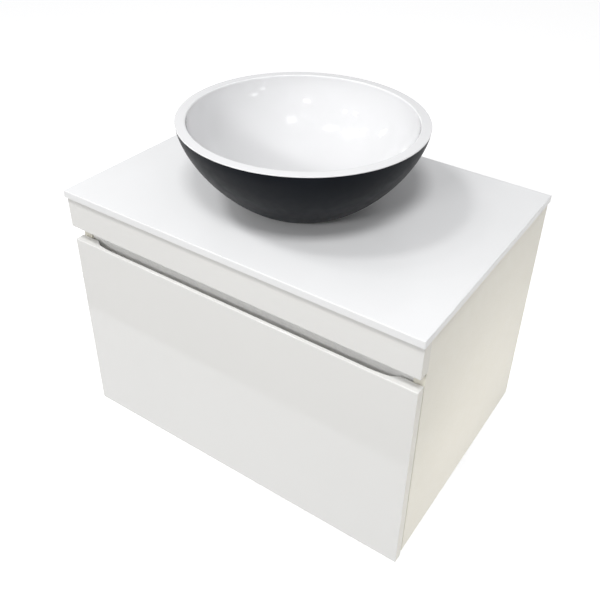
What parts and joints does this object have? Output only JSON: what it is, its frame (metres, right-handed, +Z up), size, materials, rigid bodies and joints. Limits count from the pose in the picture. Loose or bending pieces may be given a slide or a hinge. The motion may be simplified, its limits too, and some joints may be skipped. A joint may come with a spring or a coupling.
{
  "type": "vessel sink on vanity",
  "caption": "Wall-hung vanity with a thin slab top, a wide drawer with a routed finger groove, and a round vessel basin, white inside and black outside.",
  "frame": {"origin": "on the wall plane, at the centre of the back face of the hanging rail behind the top of the vanity", "axes": "+Y into the wall, +X to the right for someone facing the vanity, +Z up; the drawer opens towards -Y"},
  "size_m": [0.6, 0.47, 0.55],
  "materials": {
    "countertop_white": "satin",
    "basin_white": "gloss",
    "basin_black": "matte",
    "white_lacquer": "gloss",
    "side_laminate": "gloss",
    "carcass_board": "satin",
    "drawer_board": "satin",
    "beech": "matte",
    "chrome": "polished",
    "brass": "satin",
    "zinc_steel": "satin",
    "zinc_screw": "satin",
    "spring_steel": "satin",
    "black_rubber": "matte",
    "clear_silicone": "satin",
    "white_moulding": "satin"
  },
  "bodies": {
    "cabinet": {"countertop": "countertop_white", "basin": "basin_white", "basin_coat": "basin_black", "basin_seal": "clear_silicone", "waste_body": "chrome", "waste_top_seal": "clear_silicone", "waste_bottom_seal": "black_rubber", "waste_backnut": "brass", "waste_cartridge": "white_moulding", "waste_spring": "spring_steel", "trap_inlet_nut": "chrome", "trap_body": "chrome", "trap_cup_seal": "black_rubber", "trap_cup": "chrome", "trap_outlet_nut": "chrome", "outlet_pipe": "chrome", "wall_escutcheon": "chrome", "left_side_panel": "side_laminate", "right_side_panel": "side_laminate", "bottom_panel": "carcass_board", "fascia": "white_lacquer", "front_rail": "carcass_board", "back_top_rail": "carcass_board", "back_bottom_rail": "carcass_board", "carcass_dowels": "beech", "fascia_screws": "zinc_screw", "top_brackets": "zinc_steel", "top_bracket_screws": "zinc_screw", "drawer_buffers": "clear_silicone", "left_runner_outer": "zinc_steel", "right_runner_outer": "zinc_steel", "runner_outer_screws": "zinc_screw"},
    "drawer": {"drawer_front": "white_lacquer", "drawer_inner_front": "drawer_board", "drawer_left_side": "drawer_board", "drawer_right_side": "drawer_board", "drawer_back": "drawer_board", "drawer_bottom": "drawer_board", "drawer_front_screws": "zinc_screw", "drawer_box_screws": "zinc_screw", "left_runner_inner": "zinc_steel", "right_runner_inner": "zinc_steel", "runner_inner_screws": "zinc_screw"},
    "pop_up": {"waste_cap": "chrome", "waste_cap_seal": "black_rubber"},
    "left_runner_slide": {"left_runner_middle": "zinc_steel"},
    "right_runner_slide": {"right_runner_middle": "zinc_steel"},
    "left_outer_balls": {"left_outer_cage": "white_moulding"},
    "right_outer_balls": {"right_outer_cage": "white_moulding"},
    "left_inner_balls": {"left_inner_cage": "white_moulding"},
    "right_inner_balls": {"right_inner_cage": "white_moulding"}
  },
  "joints": [
    {"name": "drawer_slide", "type": "slide", "parent": "cabinet", "child": "drawer", "axis": [0, -1, 0], "range_m": [0, 0.33]},
    {"name": "left_middle_run", "type": "slide", "parent": "cabinet", "child": "left_runner_slide", "axis": [0, -1, 0], "range_m": [0, 0.165]},
    {"name": "left_outer_ball_run", "type": "slide", "parent": "cabinet", "child": "left_outer_balls", "axis": [0, -1, 0], "range_m": [0, 0.0825]},
    {"name": "left_inner_ball_run", "type": "slide", "parent": "cabinet", "child": "left_inner_balls", "axis": [0, -1, 0], "range_m": [0, 0.2475]},
    {"name": "right_middle_run", "type": "slide", "parent": "cabinet", "child": "right_runner_slide", "axis": [0, -1, 0], "range_m": [0, 0.165]},
    {"name": "right_outer_ball_run", "type": "slide", "parent": "cabinet", "child": "right_outer_balls", "axis": [0, -1, 0], "range_m": [0, 0.0825]},
    {"name": "right_inner_ball_run", "type": "slide", "parent": "cabinet", "child": "right_inner_balls", "axis": [0, -1, 0], "range_m": [0, 0.2475]},
    {"name": "pop_up_travel", "type": "slide", "parent": "cabinet", "child": "pop_up", "axis": [0, 0, 1], "range_m": [0, 0.008], "deforming": ["waste_spring"]}
  ],
  "couplings": [
    {"joint": "left_middle_run", "follows": "drawer_slide", "ratio": 0.5},
    {"joint": "left_outer_ball_run", "follows": "drawer_slide", "ratio": 0.25},
    {"joint": "left_inner_ball_run", "follows": "drawer_slide", "ratio": 0.75},
    {"joint": "right_middle_run", "follows": "drawer_slide", "ratio": 0.5},
    {"joint": "right_outer_ball_run", "follows": "drawer_slide", "ratio": 0.25},
    {"joint": "right_inner_ball_run", "follows": "drawer_slide", "ratio": 0.75}
  ]
}
